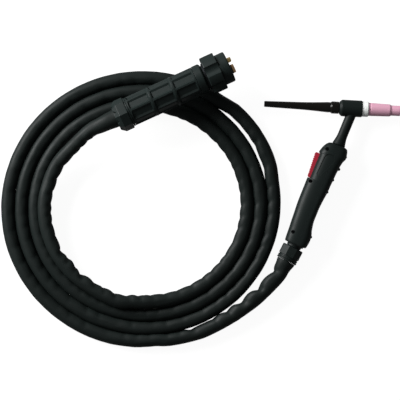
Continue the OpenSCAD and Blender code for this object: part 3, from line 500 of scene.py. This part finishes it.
def worked(target, steps=(), edge=0, sharp=30):
    """Bmesh of the target after boolean steps, each an operation and a bmesh, with its edges rounded."""
    base = solid(target)
    tools = []
    for operation, mesh in steps:
        tools.append(solid(mesh))
        cut = base.modifiers.new("cut", "BOOLEAN")
        cut.operation = operation
        cut.solver = "EXACT"
        cut.object = tools[-1]
    if edge:
        rounding = base.modifiers.new("rounding", "BEVEL")
        rounding.width = edge
        rounding.segments = 2
        rounding.limit_method = "ANGLE"
        rounding.angle_limit = math.radians(sharp)
    bpy.context.view_layer.update()
    result = bmesh.new()
    result.from_object(base, bpy.context.evaluated_depsgraph_get())
    for used in (base, *tools):
        bpy.data.objects.remove(used)
    return result


def block(low, high):
    """Box between two corners."""
    mesh = bmesh.new()
    middle = (Vector(low) + Vector(high)) / 2
    sizes = Vector(high) - Vector(low)
    bmesh.ops.create_cube(mesh, size=1, matrix=Matrix.Translation(middle) @ Matrix.Diagonal((*sizes, 1)))
    return mesh


def ball(centre, radius, squash=(1, 1, 1), segments=48):
    """Sphere, or an egg when squashed."""
    mesh = bmesh.new()
    bmesh.ops.create_uvsphere(mesh, u_segments=segments, v_segments=segments // 2, radius=radius,
                              matrix=Matrix.Translation(centre) @ Matrix.Diagonal((*squash, 1)))
    return mesh


def turned_up(mesh):
    """Turns a form made along Z so that it stands out of the handle's upper face."""
    bmesh.ops.rotate(mesh, cent=(0, 0, 0), verts=mesh.verts,
                     matrix=Matrix.Rotation(math.radians(-90), 3, "X"))
    return mesh


stations = sorted({row[0] for row in handle_rows} | {round(handle_top + 1.6 * k, 1) for k in range(100)})
hollow = [row for row in handle_rows if 64.5 <= row[0] <= 190.5]
nub_places = [(16.4, 71), (14.2, 91.4), (11.9, 109.4), (10.9, 129.1), (14, 199.7)]
screw_places = [(-14, 70.7), (-18.6, 123.6), (-13.8, 202.5)]

# Teardrop tool for the thumb recess, with drafted sides: its foot follows the handle's face.
drop = bmesh.new()
for v, u, r in ((-5.6, 84.4, 7.2), (-11.6, 109.2, 2.2)):
    for height, draft in ((10, 0), (22, 1.8)):
        bmesh.ops.create_circle(drop, segments=64, radius=r + draft,
                                matrix=Matrix.Translation((v, -u, height)))
bmesh.ops.convex_hull(drop, input=drop.verts)
bmesh.ops.delete(drop, geom=[v for v in drop.verts if not v.link_faces], context="VERTS")
bmesh.ops.delete(drop, geom=[e for e in drop.edges if not e.link_faces], context="EDGES")
bmesh.ops.recalc_face_normals(drop, faces=drop.faces)
drop = worked(turned_up(drop), [("DIFFERENCE", lofted(handle_rows, stations, recess_depth))])

shell_steps = [("UNION", ball((v - 1, 0, u), 1, (3.3, 3.6, 2.5), 32)) for v, u in nub_places]
shell_steps += [
    ("DIFFERENCE", lofted(hollow, [row[0] for row in hollow], shell_wall)),
    ("DIFFERENCE", rod(0, 0, 50, 75, 7.5)),
    ("DIFFERENCE", rod(socket_side, 0, 189, 216, 7.5)),
    ("DIFFERENCE", ball((socket_side, 0, socket_at), socket_r, segments=64)),
    ("DIFFERENCE", block((-40, -6.4, slot_top), (-14.3, 6.4, slot_bottom))),
    ("DIFFERENCE", drop)]
for v, u in screw_places:
    well = turned_up(rod(0, 0, 5.5, 40, 2.8, 32))
    bmesh.ops.translate(well, vec=(v, 0, u), verts=well.verts)
    shell_steps.append(("DIFFERENCE", well))
whole = worked(lofted(handle_rows, stations, 0), shell_steps)
upper_part = worked(whole.copy(), [("INTERSECT", block((-60, 0.05, 40), (60, 40, 240)))])
lower_part = worked(whole, [("INTERSECT", block((-60, -17, 40), (60, -0.05, 240)))])
given(made("handle_upper_shell", upper_part, handle_frame, grip_nylon),
      "torch", "grip_plastic", "handle_upper")
given(made("handle_lower_shell", lower_part, handle_frame, grip_nylon),
      "torch", "grip_plastic", "handle_lower")

# ---- Handle screws ----
# Three black-oxide thread-forming screws with cross recesses, sunk in their wells. They hold
# the two shells together.

# Black oxide on steel: near-black, with a dull oily shine that varies.
black_oxide = finished("black oxide steel", "2a2b2e", 0.42, 0.12, 0.6, 0.03, Metallic=1.0)


def dressed(finish, *nodes):
    """Gives solids that stay as they are their finish."""
    for name in nodes:
        for place in frame["nodes"][name].material_slots:
            place.material = finish


dressed(black_oxide, "handle_screws", "nut_retainer")

# ---- Trigger ----
# Red lever moulded in ABS, with nine finger grooves; it turns on a steel pin at its lower end
# and presses the switch behind it.
trigger = bmesh.new()
trigger_width = 12
groove_count = 9
outline = [(-26.4, 80.6), (-27.5, 82.6), (-24.9, 117), (-23.6, 118.9), (-19.5, 118.8), (-16.6, 116.8),
           (-15, 114.2), (-14.9, 111.8), (-16.6, 110.3), (-18.7, 110.3), (-18.3, 99), (-18.3, 93),
           (-19.5, 91), (-19.5, 80.6)]
flank = trigger.faces.new([trigger.verts.new((v, -trigger_width / 2, u)) for v, u in outline])
swept = bmesh.ops.extrude_face_region(trigger, geom=[flank])["geom"]
bmesh.ops.translate(trigger, vec=(0, trigger_width, 0),
                    verts=[g for g in swept if isinstance(g, bmesh.types.BMVert)])
bmesh.ops.recalc_face_normals(trigger, faces=trigger.faces)
grooves = []
for i in range(groove_count):
    v, u = -27.6 + 2.3 * i / groove_count, 85.6 + 3.3 * i
    grooves.append(("DIFFERENCE", block((v - 0.9, -8, u - 0.6), (v + 0.9, 8, u + 0.6))))

# Red ABS, moulded in a polished tool: a clear red with a soft shine and faint flow marks.
red_abs = finished("red ABS, moulded", "a01b30", 0.4, 0.07, 1.5, 0.04, IOR=1.52)
given(made("trigger_lever_ribbed", worked(trigger, grooves, edge=0.45), handle_frame, red_abs),
      "trigger_lever", "trigger_plastic", "trigger")

# ---- Inside the handle ----
# Pin, push switch with its plunger and leads, and the brass coupling that joins the neck's
# copper tube to the power and gas cable.

# Bright steel, ground: light grey, with fine grinding marks.
ground_steel = finished("ground steel", "b9bbbe", 0.26, 0.06, 0.3, 0.02, Metallic=1.0)
dressed(ground_steel, "trigger_pin", "switch_plunger")

# Phenolic switch case, moulded: dark grey and dull, with its filler's mottle.
phenolic = finished("dark phenolic", "2c2a2a", 0.55, 0.08, 0.8, 0.04, IOR=1.6)
dressed(phenolic, "switch_body")

# Silicone insulation on the switch leads: dark red, faintly waxy.
lead_silicone = finished("dark red silicone insulation", "7c1f1f", 0.5, 0.06, 1, 0.03, IOR=1.43)
dressed(lead_silicone, "switch_wires")

# Extruded cable rubber and seal rubber: black and dull, with a fine drag texture.
black_rubber = finished("extruded black rubber", "141516", 0.6, 0.08, 0.8, 0.06, IOR=1.52)
dressed(black_rubber, "power_cable", "power_cable_stub", "power_cable_tail", "gland_seal", "cap_o_ring",
        "plug_seal")

# Black acetal, moulded: the slippery ring that the ball turns in.
acetal = finished("black acetal", "121515", 0.38, 0.05, 0.8, 0.03, Specular_IOR_Level=0.2)
dressed(acetal, "ball_seat")

# Machined brass: warm yellow, dulled in patches where it has been handled.
machined_brass = finished("machined brass", "d8b870", 0.3, 0.08, 0.4, 0.03, Metallic=1.0)
dressed(machined_brass, "head_core", "power_coupling", "cable_ferrule")

# Drawn copper: reddish, a little tarnished in patches.
drawn_copper = finished("drawn copper", "cf9472", 0.34, 0.1, 0.5, 0.03, Metallic=1.0)
dressed(drawn_copper, "neck_tube", "collet_body", "collet")

# ---- Head and neck cover ----
# One rubber moulding over the brass head and the copper neck: a barrel with a coned rear end,
# and a neck that flares to a ring where it meets the handle.
head_frame = standing(head_centre, head_axis, (0, 0, -1))
barrel = turned([[0, -21.2], [9.3, -21.2, 0.6], [12.3, -17.6, 0.8], [12.3, 12.3, 0.7], [0, 12.3]])
neck = turned([[0, 0], [7.4, 0], [7.4, 46, 4], [9.3, 55.4, 0.6], [9.3, 56.2, 0.3], [9.8, 56.6, 0.3],
               [9.8, 58.2, 0.3], [7.4, 58.2], [7.4, 77.4], [0, 77.4]])
neck_in_head = head_frame.inverted() @ handle_frame
bmesh.ops.transform(neck, matrix=neck_in_head, verts=neck.verts)
cover = solid(worked(barrel, [("UNION", neck)]))
skin = cover.modifiers.new("skin", "REMESH")
skin.mode = "VOXEL"
skin.voxel_size = 0.4
relaxed = cover.modifiers.new("relaxed", "SMOOTH")
relaxed.factor = 0.5
relaxed.iterations = 6
bpy.context.view_layer.update()
moulded = bmesh.new()
moulded.from_object(cover, bpy.context.evaluated_depsgraph_get())
bpy.data.objects.remove(cover)
bore = turned([[0, -23], [8.2, -23], [8.2, -17], [8.5, -17], [8.5, 6], [9, 6], [9, 14], [0, 14]])
tube_bore = turned([[0, 0], [6.3, 0], [6.3, 15], [4.5, 15], [4.5, 79], [0, 79]])
bmesh.ops.transform(tube_bore, matrix=neck_in_head, verts=tube_bore.verts)

# Black rubber, compression moulded: dull, with a faint mottle from the mould.
cover_rubber = finished("moulded black rubber", "111716", 0.5, 0.07, 0.9, 0.07,
                        Specular_IOR_Level=0.12)
given(made("head_and_neck_cover", worked(moulded, [("DIFFERENCE", bore), ("DIFFERENCE", tube_bore)]),
           head_frame, cover_rubber, sharp=50), "torch", "cover_rubber", "head_cover")

# ---- Back cap ----
# Long gloss black cap, moulded in phenolic with a threaded foot; eight flutes round its grip
# ring give the fingers hold. It closes the head behind the electrode.
cap = turned([[0, -132.3], [4.3, -132.3, 0.8], [5.8, -67.1, 12], [7.8, -36.6, 3], [7.3, -34.4, 0.6],
              [9, -32.6, 0.8], [9, -21.8, 0.8], [5.2, -21.8], [5.2, -9], [1.6, -9], [1.6, -128.3],
              [0, -128.3]])
flutes = []
flute_count = 8
flute_r = 9.9
for i in range(flute_count):
    angle = math.tau * i / flute_count
    flute_at = (flute_r * math.cos(angle), flute_r * math.sin(angle), -22.4)
    flutes.append(("DIFFERENCE", ball(flute_at, 1, (1.7, 1.7, 9.6), 24)))

# Phenolic, moulded in a polished tool: deep gloss black with a faint orange peel.
cap_phenolic = finished("polished black phenolic", "0c0b08", 0.17, 0.04, 2.5, 0.03, Specular_IOR_Level=0.3)
given(made("long_back_cap", worked(cap, flutes, edge=0.2), head_frame, cap_phenolic),
      "cap", "cap_plastic", "back_cap")

# ---- Seat gasket ----
# White PTFE ring, turned and pressed into the head's front. The cup seats on it, and a fine
# groove runs round its rim.
gasket_ring = turned([[6.7, 6.3], [8.9, 6.3], [8.9, 12.6], [11.2, 12.6, 0.4], [11.2, 15.6, 0.1],
                      [11, 15.9, 0.1], [11.2, 16.2, 0.1], [11.2, 21.8, 1.4], [6.7, 21.8]])

# Turned PTFE: white, waxy, with the lathe's fine rings, real pitch 0.1 mm, drawn at 0.5 mm.
ptfe = finished("turned white PTFE", "e6e8e6", 0.42, 0.04, 0.5, 0.05, lathe=head_axis, IOR=1.38)
given(made("seat_gasket_ring", gasket_ring, head_frame, ptfe), "torch", "white_gasket", "cup_gasket")

# ---- Ceramic cup ----
# Pink alumina, pressed and fired: a bead and a groove at its foot, a slight taper, and a
# stepped tip. It screws on the collet body.
cup = turned([[7.2, 22.1], [9.75, 22.1, 0.5], [9.75, 24.2, 0.4], [9.4, 24.6, 0.2], [9.4, 25.2, 0.2],
              [9.65, 25.6, 0.2], [8.95, 52.8, 0.6], [8.5, 54.1, 0.3], [7.7, 55.4, 0.3], [7.55, 56.4, 0.3],
              [7.55, 68.9, 1.0], [5.55, 68.9, 0.4], [5.55, 51.1], [6.4, 51.1], [6.4, 40.1], [7.2, 40.1]])

# Fired alumina: matt pink with a fine sandy skin, real grain 0.1 mm, drawn at 0.5 mm.
alumina = finished("fired pink alumina", "d09bb0", 0.5, 0.03, 0.5, 0.05, IOR=1.6)
given(made("pink_ceramic_cup", cup, head_frame, alumina), "cup", "cup_ceramic", "ceramic_cup")

# ---- Electrode ----
# Tungsten rod, centreless ground, with a pencil point: a cool grey with a fine ground skin.
ground_tungsten = finished("ground tungsten", "8d8f94", 0.35, 0.06, 0.3, 0.02, Metallic=1.0)
dressed(ground_tungsten, "tungsten_electrode")

# ---- Gland nut and end ring ----
# Tapered eight-sided nut that grips the sheath at the connector's rear end, with small
# wedge-shaped notches round its mouth, and a thin ring between it and the grip.
connector_frame = standing(connector_foot, contacts_out, (0, 0, -1))
gland = bmesh.new()
gland_turn = 2
gland_sides = 8
gland_rings = []
for a, r in ((-20.2, 18.8), (-13.2, 24.3), (-0.9, 24.3), (-0.3, 23.7)):
    gland_place = Matrix.Translation((0, 0, a)) @ Matrix.Rotation(math.radians(gland_turn), 4, "Z")
    corners = bmesh.ops.create_circle(gland, segments=gland_sides, radius=r, matrix=gland_place)["verts"]
    gland_rings.append(list({e for v in corners for e in v.link_edges}))
for one, other in zip(gland_rings, gland_rings[1:]):
    bmesh.ops.bridge_loops(gland, edges=one + other)
bmesh.ops.edgenet_fill(gland, edges=gland_rings[0])
bmesh.ops.edgenet_fill(gland, edges=gland_rings[-1])
bmesh.ops.recalc_face_normals(gland, faces=gland.faces)
gland_steps = [("DIFFERENCE", rod(0, 0, -25, 2, 13.5, 64))]
for i in range(gland_sides):
    notch = block((15, -3, -3), (27, 3, 3))
    bmesh.ops.rotate(notch, cent=(0, 0, 0), verts=notch.verts,
                     matrix=Matrix.Rotation(math.radians(45), 3, "X"))
    bmesh.ops.translate(notch, vec=(0, 0, -20.6), verts=notch.verts)
    bmesh.ops.rotate(notch, cent=(0, 0, 0), verts=notch.verts,
                     matrix=Matrix.Rotation(math.radians(360 / gland_sides * (i + 0.5) + gland_turn), 3, "Z"))
    gland_steps.append(("DIFFERENCE", notch))

# Polyamide, moulded: satin black, a little glossier than the handle.
connector_nylon = finished("moulded black polyamide", "161d1c", 0.42, 0.05, 0.8, 0.06,
                           Specular_IOR_Level=0.13)
gland_nut = given(made("gland_nut_eight_sided", worked(gland, gland_steps, edge=0.4), connector_frame,
                       connector_nylon), "hose_and_connector", "connector_plastic", "gland_nut")
end_ring = given(made("grip_rear_ring", turned([[18.3, 0], [22.1, 0, 0.5], [22.1, 2.4, 0.5], [18.3, 2.4]]),
                      connector_frame, connector_nylon),
                 "hose_and_connector", "connector_plastic", "grip_end_ring")

# ---- Connector grip ----
# Three short moulded lengths in one, each with eight long drafted pockets between narrow ribs,
# and a raised ring at each joint.
grip_len = 35.8
grip_from = 2.7
grip_parts = 3
pocket_count = 8
grip_to = grip_from + grip_parts * grip_len
grip_profile = [[18.3, grip_from], [21.8, grip_from, 0.4]]
for k in range(1, grip_parts):
    joint_at = grip_from + k * grip_len
    grip_profile += [[21.8, joint_at - 1.5], [22.2, joint_at - 1.2, 0.2], [22.2, joint_at + 1.2, 0.2],
                     [21.8, joint_at + 1.5]]
grip_profile += [[21.8, grip_to, 0.4], [18.3, grip_to]]
pocket_steps = []
for k in range(grip_parts):
    start = grip_from + grip_len * k + 1.9
    for i in range(pocket_count):
        pocket = bmesh.new()
        for depth, half, draft in ((19, 4.3, 2), (24, 13.3, -1.6)):
            for y in (-half, half):
                for z in (start + draft, start + grip_len - 3.8 - draft):
                    pocket.verts.new((depth, y, z))
        bmesh.ops.convex_hull(pocket, input=pocket.verts)
        bmesh.ops.rotate(pocket, cent=(0, 0, 0), verts=pocket.verts,
                         matrix=Matrix.Rotation(math.radians(360 / pocket_count * (i + 0.5) - 0.5), 3, "Z"))
        pocket_steps.append(("DIFFERENCE", pocket))
grip = given(made("fluted_connector_grip", worked(turned(grip_profile), pocket_steps),
                  connector_frame, connector_nylon, sharp=20),
             "hose_and_connector", "connector_plastic", "connector_grip")

# ---- Front collar ----
# Plain moulded ring that closes the grip's front end, with a step down towards the locking
# nut.
front_collar = given(made("grip_front_collar", turned([
    [18, 110.5], [22.2, 110.5, 0.5], [22.2, 120.9, 1], [19.8, 122.9, 0.6], [18, 122.9]]), connector_frame,
    connector_nylon), "hose_and_connector", "connector_plastic", "front_collar")

# ---- Locking nut ----
# Thick moulded nut with six lobes for the hand; it turns freely on the sleeve and draws the
# nose into the machine's socket.
nut_steps = []
nut_lobes = 6
hollow_at = 36
for i in range(nut_lobes):
    angle = math.radians(360 / nut_lobes * i - 8)
    scoop = rod(hollow_at * math.cos(angle), hollow_at * math.sin(angle), 120, 155, 12, 96)
    nut_steps.append(("DIFFERENCE", scoop))
nut = turned([[18.3, 126.2], [28.4, 126.2, 1.6], [28.4, 147.7, 1.2], [18.3, 147.7]])
nut = given(made("six_lobed_locking_nut", worked(nut, nut_steps, edge=0.8), connector_frame, connector_nylon),
            "locking_nut", "connector_plastic", "coupling_nut")

# ---- Nose and contacts ----
# Moulded nose with an inner sleeve that carries the grip and the nut. A copper power and gas
# contact with a seal ring and two brass switch pins stand out of its face.
nose = given(made("connector_nose_and_sleeve", turned([
    [0, 162.7], [23.3, 162.7, 2.2], [23.3, 148, 0.5], [18, 148], [18, 98.1], [15, 98.1], [15, 120.1],
    [0, 120.1]]),
    connector_frame, connector_nylon), "hose_and_connector", "connector_plastic", "connector_nose")
turned_copper = finished("turned copper", "e2bc90", 0.3, 0.06, 0.3, 0.03, lathe=contacts_out, Metallic=1.0)
turned_brass = finished("turned brass", "e2c583", 0.26, 0.05, 0.3, 0.03, lathe=contacts_out, Metallic=1.0)
contact_side = -5.4
pin_side = 8.6
pin_rise = 7.5
contact = given(made("copper_power_contact", turned([
    [2.5, 118], [6.6, 118], [6.6, 163.1, 0.2], [5.4, 163.1], [5.4, 164.9], [6.6, 164.9, 0.2], [6.6, 168.5, 1],
    [2.5, 168.5, 0.5]], steps=64), connector_frame @ Matrix.Translation((0, contact_side, 0)), turned_copper),
    "hose_and_connector", "copper", "central_plug")
pins = bmesh.new()
for rise in (-pin_rise, pin_rise):
    pin = turned([[0, 142], [3.8, 142], [3.8, 162.7], [3.3, 162.7], [3.3, 168.5, 1.2], [0, 168.5]], steps=48)
    bmesh.ops.translate(pin, vec=(rise, pin_side, 0), verts=pin.verts)
    each_pin = bpy.data.meshes.new("pin")
    pin.to_mesh(each_pin)
    pin.free()
    pins.from_mesh(each_pin)
switch_pins = given(made("brass_switch_pins", pins, connector_frame, turned_brass),
                    "hose_and_connector", "brass", "control_pins")
on_the_hose = [gland_nut, end_ring, grip, front_collar, nut, nose, contact, switch_pins]
on_the_hose += [frame["nodes"][n] for n in ("gland_seal", "nut_retainer", "plug_seal", "cable_ferrule",
                                            "power_cable_tail", "power_cable_stub")]

# ---- Floor and light ----
# A plain pale table, one large soft lamp at the upper left, and a dim even surround.
table, tree = new_finish("pale matt table")
rays = add(tree, "ShaderNodeLightPath")
seen = add(tree, "ShaderNodeMath",
           {0: rays.outputs["Is Glossy Ray"], 1: 0.2, 2: rays.outputs["Is Camera Ray"]},
           operation="MULTIPLY_ADD")
seen = add(tree, "ShaderNodeMath", {0: seen.outputs[0], 1: rays.outputs["Is Transmission Ray"]},
           operation="MAXIMUM")
lift = add(tree, "ShaderNodeMath", {0: seen.outputs[0], 1: 0.94}, operation="MULTIPLY")
matt = add(tree, "ShaderNodeBsdfDiffuse", {"Color": linear("6a6a6a")})
glow = add(tree, "ShaderNodeEmission", {"Color": (1, 1, 1, 1), "Strength": lift.outputs[0]})
both = add(tree, "ShaderNodeAddShader", {0: matt.outputs[0], 1: glow.outputs[0]})
add(tree, "ShaderNodeOutputMaterial", {"Surface": both.outputs[0]})
floor_mesh = bmesh.new()
bmesh.ops.create_grid(floor_mesh, x_segments=1, y_segments=1, size=6000)
floor = made("floor", floor_mesh, Matrix.Scale(MM, 4), table)

softbox = bpy.data.lights.new("softbox", "AREA")
softbox.shape = "RECTANGLE"
softbox.size = 1.4
softbox.size_y = 1.4
softbox.energy = 145
lamp = bpy.data.objects.new("softbox", softbox)
lamp.location = (-2.0, 1.15, 0.95)
lamp.rotation_euler = (Vector((-0.2, 0, 0)) - lamp.location).to_track_quat("-Z", "Y").to_euler()
bpy.context.scene.collection.objects.link(lamp)

surround = bpy.data.worlds.new("surround")
bpy.context.scene.world = surround
surround.use_nodes = True
surround.node_tree.nodes.clear()
sky = add(surround.node_tree, "ShaderNodeBackground", {"Color": (1, 1, 1, 1), "Strength": 0.18})
add(surround.node_tree, "ShaderNodeOutputWorld", {"Surface": sky.outputs[0]})
bpy.context.scene.view_settings.view_transform = "Standard"
